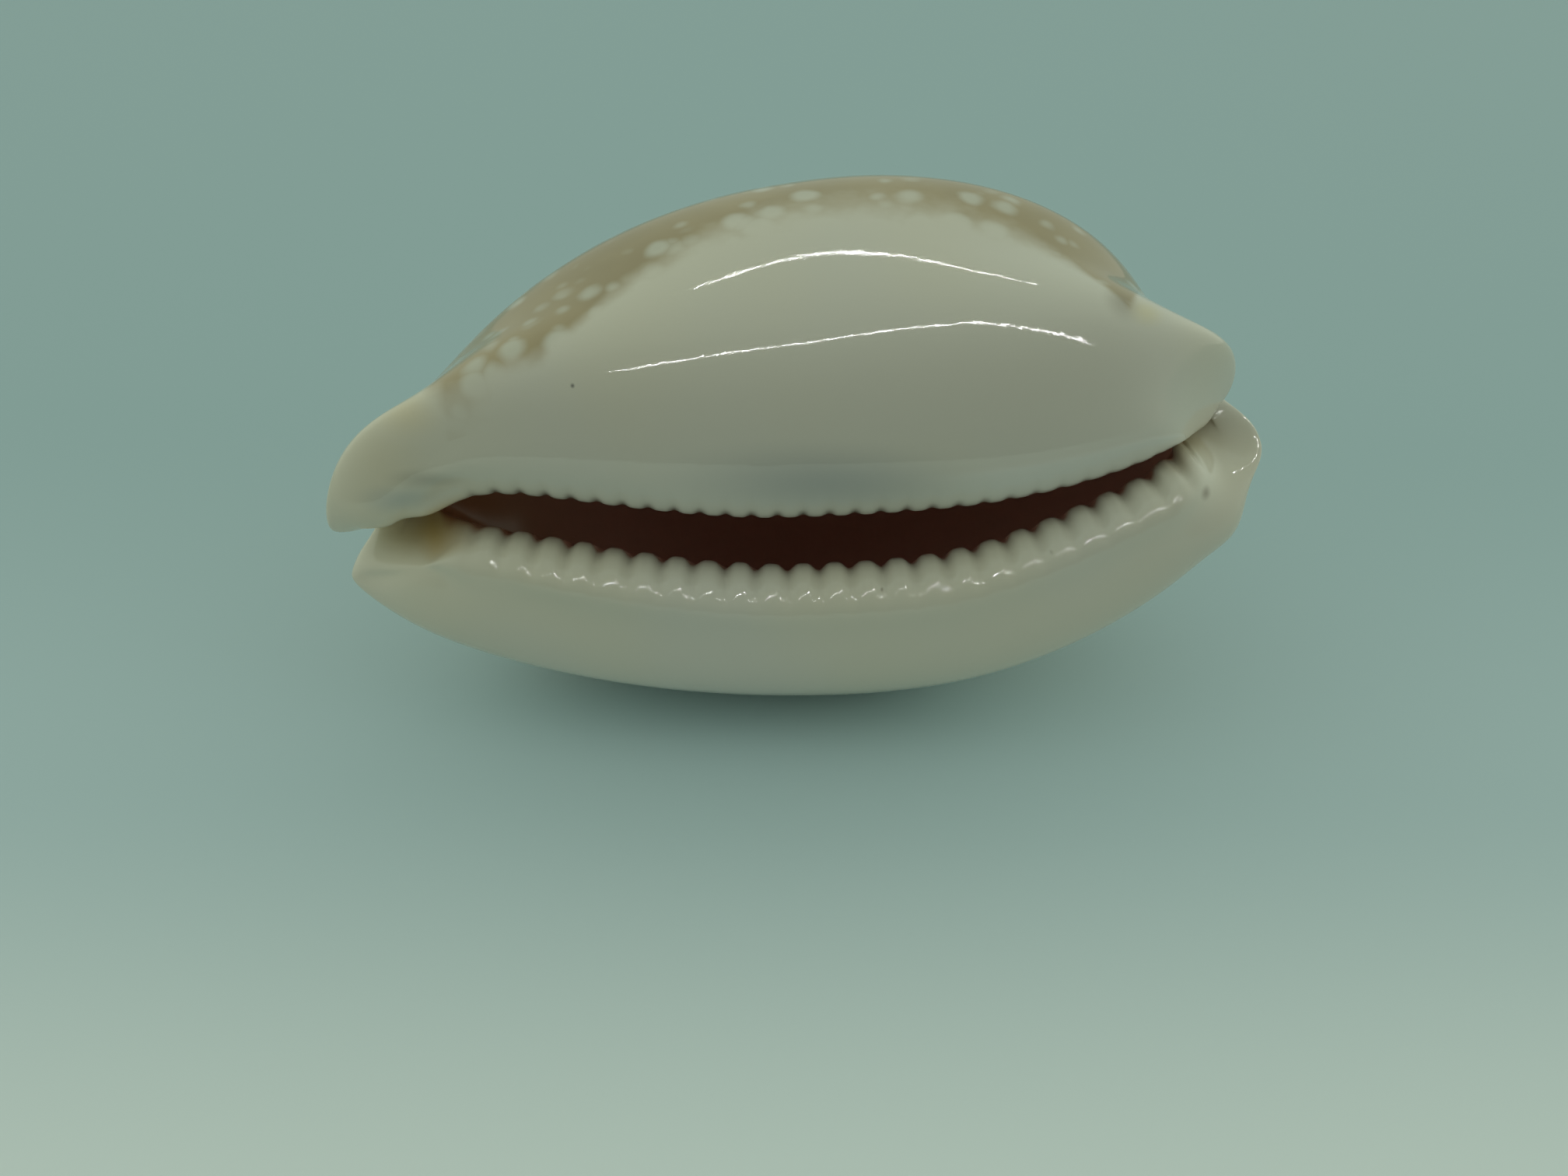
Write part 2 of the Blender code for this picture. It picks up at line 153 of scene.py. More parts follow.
# Teeth of each lip: how many, and the places along the shell of the first and the last. They are spaced
# along the line at this place across the rails, which runs this angle clear of both ends.
OUTER_TEETH = (26, -24.0, 26.4)
INNER_TEETH = (30, -23.0, 25.0)
TOOTH_LINE = 7.4
LIP_RUN_CLEAR = 0.12
LIP_RUN_STEPS = 1201
OUTER_STEPS_PER_TOOTH = 14
INNER_STEPS_PER_TOOTH = 12
END_STEPS_BACK = 60
END_STEPS_FRONT = 64
# Rings of the wall, as places across the rails: (first, last, count) from the ridge to the lips, over
# the lips, and inside. Off the lips, the rings keep the turns of the nearest of these two places.
BACK_RINGS = (0.04, 5.0, 34)
LIP_RINGS = (5.0, 8.7, 42)
INSIDE_RINGS = (8.7, 14.9, 16)
TURNS_FROM = (5.1, 8.7)
# The low roll of the outer lip: height, place and width across the rails, and its fade in teeth.
LIP_ROLL_HEIGHT = 0.5
LIP_ROLL_PLACE = 7.0
LIP_ROLL_WIDTH = 0.44
LIP_ROLL_FADE = 4.0


def powered(value, square):
    return np.sign(value) * np.abs(value) ** (2.0 / square)


def eased(value):
    value = np.clip(value, 0.0, 1.0)
    return value * value * (3.0 - 2.0 * value)


def slot_line(x):
    back = np.clip(x - SLOT_BOW_X, 0.0, None)
    front = np.clip(SLOT_BOW_X - x, 0.0, None)
    hook = np.clip(x - SLOT_HOOK_X, 0.0, None)
    return SLOT_BOW - SLOT_TURN_BACK * back ** 2 - SLOT_TURN_FRONT * front ** 2 - SLOT_HOOK * hook ** 3


def grown(x, shift):
    size, (start, full), (hold, end), given_back = shift
    lost = given_back * eased((x - hold) / (end - hold))
    return size * eased((x - start) / (full - start)) * (1.0 - lost)


def slot_foot(points):
    """Where along the slot line each point lies, measured square to that line."""
    x, y = points[..., 0], points[..., 1]
    step = 0.01
    slope = (slot_line(x + step) - slot_line(x - step)) / (2 * step)
    return x + (y - slot_line(x)) * slope


def ridge_rail(name, turn):
    back, front, outer, inner, below = RIDGES[name]
    along, across = np.cos(turn), np.sin(turn)
    x = np.where(along > 0, back, front) * along
    y = RIDGE_Y + np.where(across > 0, outer, inner) * across * (1 + RIDGE_WIDEN * along)
    from_top = x - RIDGE_TOP_X
    height = RIDGE_TOP - np.where(from_top > 0, RIDGE_DROP_BACK, RIDGE_DROP_FRONT) * from_top ** 2
    return np.stack([x, y, height - below], -1)


def rail(name, turn):
    """Points of one rail: turn is 0 at the back end, a quarter at the outer lip, a half at the front."""
    if name in RIDGES:
        return ridge_rail(name, turn)
    back, front, outer, inner, z_outer, z_inner, z_back, z_front, *shape = RAILS[name]
    square_back, square_front, widen, follow, cut = shape
    along, across = np.cos(turn), np.sin(turn)
    square = np.where(along > 0, square_back, square_front)
    to_end = powered(along, square)
    x = np.where(along > 0, back, front) * to_end
    y = np.where(across > 0, outer, inner) * powered(across, square) * (1 + widen * to_end)
    beside = np.abs(across) ** HEIGHT_POWER
    z = np.where(across > 0, z_outer, z_inner) * beside
    z = z + np.where(along > 0, z_back, z_front) * (1 - beside)
    if cut:
        reach = np.where(along > 0, CANAL_BACK[0], -CANAL_FRONT[0])
        rise = np.where(along > 0, CANAL_BACK[1], CANAL_FRONT[1])
        width = np.where(along > 0, CANAL_BACK[2], CANAL_FRONT[2])
        depth = cut * np.exp(-(y / width) ** 2) * eased((np.abs(x) - CANAL_START) / CANAL_RUN_IN)
        z = z + depth * rise
        x = x - depth * reach
        lip = math.sqrt(cut) * (2.0 * eased(y / LIP_CHANGE_WIDTH + 0.5) - 1.0) * np.abs(along) ** 3
        x = x + lip * np.where(along > 0, LIP_LEAD_BACK, LIP_LEAD_FRONT)
        z = z - lip * np.where(along > 0, LIP_DROP_BACK, LIP_DROP_FRONT)
    if follow == 1:
        y = y - grown(x, ASIDE) - grown(x, CLOSING) * eased(across)
    y = y + follow * slot_line(x) + (1 - follow) * (0.5 * RIDGE_Y + BODY_TURN * x / BODY_TURN_OVER)
    return np.stack([x, y, z], -1)


def blend(count, at):
    """Cubic B-spline weights of the rails at these places, clamped at both ends."""
    knots = np.concatenate([np.zeros(3), np.arange(count - 2, dtype=float), np.full(3, count - 3.0)])
    at = np.clip(np.asarray(at, float), 0.0, count - 3.0 - 1e-9)
    weights = [((knots[i] <= at) & (at < knots[i + 1])).astype(float) for i in range(len(knots) - 1)]
    for degree in (1, 2, 3):
        raised = []
        for i in range(len(weights) - 1):
            value = np.zeros_like(at)
            if knots[i + degree] > knots[i]:
                value = value + (at - knots[i]) / (knots[i + degree] - knots[i]) * weights[i]
            if knots[i + degree + 1] > knots[i + 1]:
                share = (knots[i + degree + 1] - at) / (knots[i + degree + 1] - knots[i + 1])
                value = value + share * weights[i + 1]
            raised.append(value)
        weights = raised
    return np.stack(weights, -1)


def wall_points(turn, place):
    """Points of the smooth wall on one ring: turn runs round the slot, place counts across the rails."""
    rails = np.stack([rail(name, turn) for name in ORDER], 1)
    points = np.einsum("r,trk->tk", blend(len(ORDER), [place])[0], rails)
    outside = 1.0 - eased((place - SWELLINGS_TO[0]) / (SWELLINGS_TO[1] - SWELLINGS_TO[0]))
    moved = points.copy()
    for centre, reach, push in SWELLINGS.values():
        near = np.exp(-(((points - np.array(centre)) / np.array(reach)) ** 2).sum(-1))[:, None]
        moved += outside * near * np.array(push)
    return moved


def lip_run(outer):
    """Turns from the front end to the back end, along the outer lip or the inner one."""
    if outer:
        return np.linspace(math.pi - LIP_RUN_CLEAR, LIP_RUN_CLEAR, LIP_RUN_STEPS)
    return np.linspace(math.pi + LIP_RUN_CLEAR, 2 * math.pi - LIP_RUN_CLEAR, LIP_RUN_STEPS)


def tooth_feet(teeth, steps, outer):
    """Where along the slot line each step of one lip's teeth falls, even along the lip's edge."""
    count, x_first, x_last = teeth
    lip = wall_points(lip_run(outer), TOOTH_LINE)
    length = np.concatenate([[0.0], np.cumsum(np.linalg.norm(np.diff(lip, axis=0), axis=1))])
    first, last = np.interp([x_first, x_last], lip[:, 0], length)
    pitch = (last - first) / (count - 1)
    return np.interp(first + steps * pitch, length, slot_foot(lip))


def ring_turns(place, feet_outer, feet_inner):
    """Turns of one ring: they follow the teeth along each lip, and are even round each end."""
    run_outer, run_inner = lip_run(True), lip_run(False)
    outer = np.interp(feet_outer, slot_foot(wall_points(run_outer, place)), run_outer)
    inner = np.interp(feet_inner, slot_foot(wall_points(run_inner, place)), run_inner)
    front = np.linspace(outer[0], inner[0], END_STEPS_FRONT + 2)[1:-1]
    back = np.linspace(inner[-1], outer[-1] + 2 * math.pi, END_STEPS_BACK + 2)[1:-1]
    return np.concatenate([outer[::-1], front, inner, back])


def ridge_closed(bm, ring):
    """Closes the narrow ring along the ridge with short triangles from one long side to the other."""
    front = min(range(len(ring)), key=lambda i: ring[i].co.x)
    back = max(range(len(ring)), key=lambda i: ring[i].co.x)
    forwards = [ring[(front + i) % len(ring)] for i in range((back - front) % len(ring) + 1)]
    backwards = [ring[(front - i) % len(ring)] for i in range((front - back) % len(ring) + 1)]
    near, far = 0, 0
    while near < len(forwards) - 1 or far < len(backwards) - 1:
        near_waits = near == len(forwards) - 1
        far_waits = far == len(backwards) - 1
        if far_waits or (not near_waits and forwards[near + 1].co.x <= backwards[far + 1].co.x):
            corners = (forwards[near], forwards[near + 1], backwards[far])
            near += 1
        else:
            corners = (forwards[near], backwards[far + 1], backwards[far])
            far += 1
        if len(set(corners)) == 3:
            bm.faces.new(corners)


# Steps along each lip are counted in teeth: whole numbers are crests, and -0.5 is the plain lip beyond
# the first tooth.
outer_steps = np.arange(OUTER_TEETH[0] * OUTER_STEPS_PER_TOOTH + 1) / OUTER_STEPS_PER_TOOTH - 0.5
inner_steps = np.arange(INNER_TEETH[0] * INNER_STEPS_PER_TOOTH + 1) / INNER_STEPS_PER_TOOTH - 0.5
feet_outer = tooth_feet(OUTER_TEETH, outer_steps, True)
feet_inner = tooth_feet(INNER_TEETH, inner_steps, False)
plain_front = np.full(END_STEPS_FRONT, -0.5)
plain_back = np.full(END_STEPS_BACK, -0.5)
plain_outer = np.full(len(outer_steps), -0.5)
plain_inner = np.full(len(inner_steps), -0.5)
outer_count = np.concatenate([outer_steps[::-1], plain_front, plain_inner, plain_back])
inner_count = np.concatenate([plain_outer, plain_front, inner_steps, plain_back])
back_places, lip_places = np.linspace(*BACK_RINGS)[:-1], np.linspace(*LIP_RINGS)[:-1]
places = np.concatenate([back_places, lip_places, np.linspace(*INSIDE_RINGS)])
rings = []
for place in places:
    turns = ring_turns(min(max(place, TURNS_FROM[0]), TURNS_FROM[1]), feet_outer, feet_inner)
    rings.append(wall_points(turns, place))
wall = np.stack(rings)
# Below its teeth the outer lip is a little thicker and rounder: a low roll along it, fading at both ends.
roll = LIP_ROLL_HEIGHT * np.exp(-((places - LIP_ROLL_PLACE) / LIP_ROLL_WIDTH) ** 2)
on_outer_lip = eased((outer_count + 0.5) / LIP_ROLL_FADE)
on_outer_lip = on_outer_lip * eased((OUTER_TEETH[0] - 0.5 - outer_count) / LIP_ROLL_FADE)
wall[..., 2] -= roll[:, None] * on_outer_lip[None, :]

# The shell is turned into the pose in which it lies, and its lowest spot is flat.
turned = Matrix.Rotation(-math.radians(BACK_END_RAISED), 3, "Y")
turned = turned @ Matrix.Rotation(-math.radians(90 + BASE_LOOKS_UP), 3, "X")
posed = wall @ np.array(turned).T
lowest = posed[..., 2].min() + FLAT_SPOT_DEPTH
posed[..., 2] = np.maximum(posed[..., 2], lowest)
middle = 0.5 * (posed.reshape(-1, 3).min(0) + posed.reshape(-1, 3).max(0))
posed = (posed - [middle[0], middle[1], lowest]) * MM

around = wall.shape[1]
bm = bmesh.new()
made = [[bm.verts.new(point) for point in ring] for ring in posed.tolist()]
for near, far in zip(made, made[1:]):
    for i in range(around):
        beyond = (i + 1) % around
        bm.faces.new((near[i], near[beyond], far[beyond], far[i]))
for ring in (made[0], made[-1]):
    ridge_closed(bm, ring)
bmesh.ops.recalc_face_normals(bm, faces=bm.faces)
for face in bm.faces:
    face.smooth = True
wall_mesh = bpy.data.meshes.new("smooth_wall")
bm.to_mesh(wall_mesh)
bm.free()

# Growth marks that the glaze and the teeth follow: how far across the rails each point lies, the count
# of teeth along each lip, and how far the white callus of the base has crept up over the tan back.
ALL_CALLUS_FROM = 6.0
CALLUS_LEAST = -6.0
CALLUS_MOST = 4.0
# The callus edge is given as its height above the base at places along the inner and the outer side,
# with how softly it fades into the back there. The two sides pass into each other over a width.
CALLUS_SIDES_WIDTH = 12.0
CALLUS_X = (-26.0, -24.0, -22.5, -20.0, -16.0, -13.7, -10.8, -5.5, 0.0, 5.0, 10.0, 15.0, 18.4, 19.8, 21.0,
            22.0, 23.5, 26.0)
CALLUS_INNER = (9.0, 2.6, 1.0, 0.7, 1.1, 2.4, 4.9, 7.8, 9.1, 9.6, 9.4, 8.1, 6.1, 3.7, 2.3,
                4.0, 9.0, 15.0)
CALLUS_OUTER = (12.0, 9.0, 7.5, 7.6, 8.0, 8.4, 9.0, 9.8, 10.2, 10.2, 10.0, 9.6, 9.0, 8.8, 9.0,
                9.6, 11.0, 15.0)
CALLUS_SOFTNESS = (2.0, 1.4, 0.9, 0.7, 0.8, 1.0, 1.4, 2.0, 2.3, 2.4, 2.3, 1.9, 1.2, 0.7, 0.5,
                   0.5, 0.5, 0.6)


def marked(mesh, name, values):
    layer = mesh.attributes.new(name, "FLOAT", "POINT")
    layer.data.foreach_set("value", np.ascontiguousarray(values, dtype=np.float32).ravel())


edge_inner = np.interp(wall[..., 0], CALLUS_X, CALLUS_INNER)
edge_outer = np.interp(wall[..., 0], CALLUS_X, CALLUS_OUTER)
softness = np.interp(wall[..., 0], CALLUS_X, CALLUS_SOFTNESS)
outer_side = eased(0.5 + (wall[..., 1] - RIDGE_Y) / CALLUS_SIDES_WIDTH)
edge_height = edge_inner * (1.0 - outer_side) + edge_outer * outer_side
callus = (edge_height - wall[..., 2]) / softness
ring_places = np.repeat(places[:, None], around, 1)
callus = np.clip(callus, CALLUS_LEAST, CALLUS_MOST)
callus = np.where(ring_places > ALL_CALLUS_FROM, CALLUS_MOST, callus)
marked(wall_mesh, "across", ring_places)
marked(wall_mesh, "callus", callus)
marked(wall_mesh, "along", wall[..., 0])
marked(wall_mesh, "outer_count", np.repeat(outer_count[None, :], len(places), 0))
marked(wall_mesh, "inner_count", np.repeat(inner_count[None, :], len(places), 0))

# The glaze: hard, polished enamel of the shell itself. The back is tan with soft whitish round spots, the
# margins and the base are covered by cream-white callus, and the inside of the slot is dark maroon.
TAN = (0.48, 0.375, 0.215)
TAN_DEEP = (0.41, 0.32, 0.18)
SPOT_WHITE = (0.71, 0.70, 0.60)
CALLUS_WHITE = (0.76, 0.72, 0.63)
CALLUS_CREAM = (0.80, 0.73, 0.55)
# Grey of the painted shade over the slot, partly the callus's own bluish-grey tint there.
PAINTED_SHADE_GREY = (0.39, 0.41, 0.40)
MAROON = (0.78, 0.41, 0.32)
# Painted shade: the inside is painted darker towards the front.
MAROON_PAINTED_SHADE = (0.42, 0.19, 0.10)
TOOTH_STAIN = (0.10, 0.055, 0.035)
CANAL_TAN = (0.55, 0.35, 0.09)
STRIP_PALE = (0.84, 0.84, 0.78)
# Spots, in millimetres: near the callus the large ones grow by a little. Their edges are soft between
# these two shares of the spacing, and they cover the tan by these shares.
SPOT_SPACING = 2.8
SPOT_RADIUS = 0.68
SPOT_SCATTER = 0.85
SPOT_GROWTH = 0.2
SPOT_GROWS = (-4.0, -0.5)
SPOT_EDGE = (-0.15, 0.16)
SPOT_COVER = 0.75
SMALL_SPOT_SPACING = 2.3
SMALL_SPOT_RADIUS = 0.42
SMALL_SPOT_SCATTER = 1.0
SMALL_SPOT_EDGE = (-0.15, 0.15)
SMALL_SPOT_COVER = 0.5
# Soft noise, in waves per millimetre: what bends the rows of spots, mottles the tan, makes the callus
# edge and its cream uneven, and varies the gloss and the skin.
BEND_NOISE = 0.32
MOTTLE_NOISE = 0.12
MOTTLE_EDGE = (0.35, 0.7)
EDGE_NOISE = 0.5
EDGE_WANDER = 1.1
EDGE_ROUND_SPOTS = 0.5
CREAM_NOISE = 0.06
CREAM_EDGE = (0.4, 0.65)
CREAM_COVER = 0.35
FRONT_CREAM_ALONG = (-12.0, -28.0)
FRONT_CREAM_COVER = 0.4
GLOSS_NOISE = 0.8
RIPPLE_NOISE = 1.5
# Roughness of the polished glaze, from most to least shiny, and how much duller the inside is. Depths of
# the ripple in the skin and of the strip's step are in millimetres; the tan back has less ripple.
ROUGHNESS = (0.02, 0.06)
INSIDE_DULLER = 0.25
RIPPLE_DEPTH = 0.008
BACK_RIPPLE = 0.15
STRIP_STEP = 0.04
# Where coloured bands begin and are full: across the rails, along the shell, or in teeth along the lip.
STRIP_STARTS_ACROSS = (6.72, 6.88)
STRIP_ENDS_ACROSS = (8.0, 7.5)
STRIP_TEETH = (17.0, 22.0)
STRIP_COVER = 0.45
STAIN_ACROSS = (7.35, 7.9)
STAIN_COVER = 0.9
CANAL_ALONG = (-22.0, -26.0)
CANAL_ACROSS = (7.2, 8.0)
CANAL_COVER = 0.6
CANAL_PALE_ALONG = (-25.0, -28.0)
CANAL_PALE_DEPTH = 0.8
INSIDE_ACROSS = (8.15, 8.7)
TEETH_REACH_IN = 0.15
# Along the shell, where the painted shade darkens the inside towards the front.
INSIDE_SHADE_ALONG = (-14.0, -23.0)
# Soft blotches of colour: where they are in the pose in which the shell lies, in millimetres, how far
# they reach each way, how strong they are, and their colour.
BLOTCHES = {
    # Painted shade over the slot, partly the callus's own bluish-grey tint.
    "grey shade over the slot": ((1.5, -15.3, 21.3), (12.0, 4.0, 3.4), 0.65, PAINTED_SHADE_GREY),
    "yellow patch in front":    ((-25.6, -12.3, 24.0), (3.4, 3.5, 2.0), 0.5, (0.78, 0.65, 0.40)),
    "peach tint of the front":  ((-27.4, -12.7, 21.5), (4.0, 4.0, 4.0), 0.3, (0.76, 0.66, 0.46)),
    "grey-brown back crease":   ((19.9, -10.4, 31.6), (1.7, 2.0, 1.5), 0.55, (0.32, 0.27, 0.20)),
    "yellow streak behind it":  ((21.5, -10.9, 31.3), (1.8, 2.0, 1.0), 0.55, (0.78, 0.68, 0.42)),
    "dark dot":                 ((-14.6, -13.8, 26.7), (0.20, 0.5, 0.20), 0.9, (0.08, 0.07, 0.08)),
    # Painted shade on the knob under the tongue, and a painted shadow in the hollow over it.
    "painted shade on the knob":                ((-26.2, -13.6, 18.2), (3.4, 2.5, 1.5), 0.7, (0.54, 0.56, 0.51)),
    "shade over the knob":      ((-24.5, -13.3, 19.7), (3.0, 2.0, 1.0), 0.45, (0.34, 0.32, 0.25)),
    "tan of the front canal":   ((-26.0, -10.8, 14.2), (4.4, 3.4, 1.7), 0.7, (0.50, 0.39, 0.17)),
    "stain on the back lobe":   ((26.7, -13.9, 20.0), (0.6, 1.0, 0.6), 0.7, (0.28, 0.22, 0.16)),
    "tan under the beak":       ((27.0, -8.5, 21.4), (3.5, 4.0, 1.8), 0.5, (0.58, 0.47, 0.24)),
    "brown at the slot's end":  ((25.0, -11.5, 21.3), (1.8, 3.0, 0.9), 0.45, (0.30, 0.18, 0.07)),
    "left speck":               ((5.5, -16.4, 13.6), (0.16, 0.5, 0.16), 0.7, (0.22, 0.17, 0.11)),
    "middle speck":             ((16.6, -15.7, 16.4), (0.22, 0.6, 0.22), 0.6, (0.26, 0.20, 0.12)),
    "right speck":              ((18.6, -15.6, 17.0), (0.22, 0.6, 0.22), 0.6, (0.26, 0.20, 0.12)),
}
glaze = bpy.data.materials.new("cowry_glaze")
glaze.use_nodes = True
glaze_nodes = glaze.node_tree.nodes
porcelain = glaze_nodes["Principled BSDF"]
porcelain.inputs["IOR"].default_value = 1.53
porcelain.inputs["Subsurface Weight"].default_value = 0.0


def wired(tree, kind, inputs, settings=None):
    """A node of this kind, with values or other sockets on its inputs."""
    node = tree.nodes.new(kind)
    for name, value in (settings or {}).items():
        setattr(node, name, value)
    for name, value in inputs.items():
        if isinstance(value, bpy.types.NodeSocket):
            tree.links.new(value, node.inputs[name])
        else:
            node.inputs[name].default_value = value
    return node


def stepped(tree, value, low, high):
    """Nought below the low value, one above the high one, and a smooth rise between."""
    inputs = {"Value": value, "From Min": low, "From Max": high}
    return wired(tree, "ShaderNodeMapRange", inputs, {"interpolation_type": "SMOOTHSTEP"}).outputs["Result"]


def worked(tree, operation, first, second=0.0):
    return wired(tree, "ShaderNodeMath", {0: first, 1: second}, {"operation": operation}).outputs[0]


def laid_over(tree, share, under, over):
    """One colour laid over another, by this share."""
    node = tree.nodes.new("ShaderNodeMix")
    node.data_type = "RGBA"
    for index, value in ((0, share), (6, under), (7, over)):
        if isinstance(value, bpy.types.NodeSocket):
            tree.links.new(value, node.inputs[index])
        else:
            node.inputs[index].default_value = (*value, 1.0) if index else value
    return node.outputs[2]


def growth_mark(tree, name):
    """One of the wall's growth marks, read in a material."""
    return wired(tree, "ShaderNodeAttribute", {}, {"attribute_name": name}).outputs["Fac"]


def noise(tree, place, waves, detail):
    return wired(tree, "ShaderNodeTexNoise", {"Vector": place, "Scale": waves, "Detail": detail})


# A soft blotch is full at its centre and fades to nothing at its reach.
blotch = bpy.data.node_groups.new("soft_blotch", "ShaderNodeTree")
for name, kind in (("Position", "NodeSocketVector"), ("Centre", "NodeSocketVector"),
                   ("Reach", "NodeSocketVector"), ("Strength", "NodeSocketFloat")):
    blotch.interface.new_socket(name, in_out="INPUT", socket_type=kind)
blotch.interface.new_socket("Mask", in_out="OUTPUT", socket_type="NodeSocketFloat")
blotch_in = blotch.nodes.new("NodeGroupInput").outputs
offset = wired(blotch, "ShaderNodeVectorMath", {0: blotch_in["Position"], 1: blotch_in["Centre"]},
               {"operation": "SUBTRACT"}).outputs[0]
scaled = wired(blotch, "ShaderNodeVectorMath", {0: offset, 1: blotch_in["Reach"]},
               {"operation": "DIVIDE"}).outputs[0]
apart = wired(blotch, "ShaderNodeVectorMath", {0: scaled}, {"operation": "LENGTH"}).outputs["Value"]
shown = worked(blotch, "MULTIPLY", stepped(blotch, apart, 1.0, 0.0), blotch_in["Strength"])
wired(blotch, "NodeGroupOutput", {"Mask": shown})

tree = glaze.node_tree
object_place = glaze_nodes.new("ShaderNodeTexCoord").outputs["Object"]
place_mm = wired(tree, "ShaderNodeVectorMath", {0: object_place, "Scale": 1.0 / MM},
                 {"operation": "SCALE"}).outputs[0]
across = growth_mark(tree, "across")
callus_mark = growth_mark(tree, "callus")
inner_gap = growth_mark(tree, "inner_gap")
outer_ridge = growth_mark(tree, "outer_ridge")

# The tan back and its spots.
wander = noise(tree, place_mm, BEND_NOISE, 2.0).outputs["Color"]
bent = wired(tree, "ShaderNodeVectorMath", {0: wander, 1: place_mm}, {"operation": "ADD"}).outputs[0]
mottle = noise(tree, place_mm, MOTTLE_NOISE, 3.0).outputs["Fac"]
back_colour = laid_over(tree, stepped(tree, mottle, *MOTTLE_EDGE), TAN, TAN_DEEP)
spots = wired(tree, "ShaderNodeTexVoronoi",
              {"Vector": bent, "Scale": 1.0 / SPOT_SPACING, "Randomness": SPOT_SCATTER})
spots = spots.outputs["Distance"]
small_spots = wired(tree, "ShaderNodeTexVoronoi",
                    {"Vector": bent, "Scale": 1.0 / SMALL_SPOT_SPACING, "Randomness": SMALL_SPOT_SCATTER})
small_spots = small_spots.outputs["Distance"]
near_callus = stepped(tree, callus_mark, *SPOT_GROWS)
grow = worked(tree, "MULTIPLY", near_callus, SPOT_GROWTH / SPOT_SPACING)
large_radius = worked(tree, "ADD", grow, SPOT_RADIUS / SPOT_SPACING)
large = worked(tree, "SUBTRACT", large_radius, spots)
small = worked(tree, "SUBTRACT", SMALL_SPOT_RADIUS / SMALL_SPOT_SPACING, small_spots)
large_share = worked(tree, "MULTIPLY", stepped(tree, large, *SPOT_EDGE), SPOT_COVER)
small_share = worked(tree, "MULTIPLY", stepped(tree, small, *SMALL_SPOT_EDGE), SMALL_SPOT_COVER)
spot_share = worked(tree, "MAXIMUM", large_share, small_share)
back_colour = laid_over(tree, spot_share, back_colour, SPOT_WHITE)

# The callus, with an uneven edge that runs round the spots, and creamier towards the front.
edge_noise = noise(tree, place_mm, EDGE_NOISE, 2.0).outputs["Fac"]
uneven = worked(tree, "MULTIPLY_ADD", edge_noise, EDGE_WANDER)
uneven.node.inputs[2].default_value = -0.5 * EDGE_WANDER
callus_edge = worked(tree, "ADD", callus_mark, uneven)
callus_edge = worked(tree, "ADD", callus_edge, worked(tree, "MULTIPLY", spot_share, EDGE_ROUND_SPOTS))
callus_share = stepped(tree, callus_edge, -1.0, 1.0)
cream = noise(tree, place_mm, CREAM_NOISE, 1.0).outputs["Fac"]
along = growth_mark(tree, "along")
front_cream = worked(tree, "MULTIPLY", stepped(tree, along, *FRONT_CREAM_ALONG), FRONT_CREAM_COVER)
cream_share = worked(tree, "MULTIPLY", stepped(tree, cream, *CREAM_EDGE), CREAM_COVER)
cream_share = worked(tree, "ADD", cream_share, front_cream)
white = laid_over(tree, cream_share, CALLUS_WHITE, CALLUS_CREAM)
colour = laid_over(tree, callus_share, back_colour, white)
for name, (centre, reach, strength, tint) in BLOTCHES.items():
    mask = tree.nodes.new("ShaderNodeGroup")
    mask.node_tree = blotch
    tree.links.new(place_mm, mask.inputs["Position"])
    mask.inputs["Centre"].default_value = centre
    mask.inputs["Reach"].default_value = reach
    mask.inputs["Strength"].default_value = strength
    colour = laid_over(tree, mask.outputs["Mask"], colour, tint)

# A paler bevelled strip runs along the edge of the inner lip towards the back.
inner_count_mark = growth_mark(tree, "inner_count")
strip = stepped(tree, across, *STRIP_STARTS_ACROSS)
strip = worked(tree, "MULTIPLY", strip, stepped(tree, inner_count_mark, *STRIP_TEETH))
strip = worked(tree, "MULTIPLY", strip, stepped(tree, across, *STRIP_ENDS_ACROSS))
colour = laid_over(tree, worked(tree, "MULTIPLY", strip, STRIP_COVER), colour, STRIP_PALE)

# Brown stain between the fine teeth of the inner lip, then the front canal's tan and the dark inside, with
# painted shade darkening the inside towards the front.
stain = worked(tree, "MULTIPLY", inner_gap, stepped(tree, across, *STAIN_ACROSS))
stain = worked(tree, "MULTIPLY", stain, STAIN_COVER)
colour = laid_over(tree, stain, colour, TOOTH_STAIN)
canal = worked(tree, "MULTIPLY", stepped(tree, along, *CANAL_ALONG), stepped(tree, across, *CANAL_ACROSS))
colour = laid_over(tree, worked(tree, "MULTIPLY", canal, CANAL_COVER), colour, CANAL_TAN)
deeper = worked(tree, "SUBTRACT", across, worked(tree, "MULTIPLY", outer_ridge, TEETH_REACH_IN))
canal_pale = worked(tree, "MULTIPLY", stepped(tree, along, *CANAL_PALE_ALONG), CANAL_PALE_DEPTH)
inside = stepped(tree, worked(tree, "SUBTRACT", deeper, canal_pale), *INSIDE_ACROSS)
inside_colour_and_shade = laid_over(tree, stepped(tree, along, *INSIDE_SHADE_ALONG), MAROON, MAROON_PAINTED_SHADE)
colour = laid_over(tree, inside, colour, inside_colour_and_shade)
tree.links.new(colour, porcelain.inputs["Base Color"])

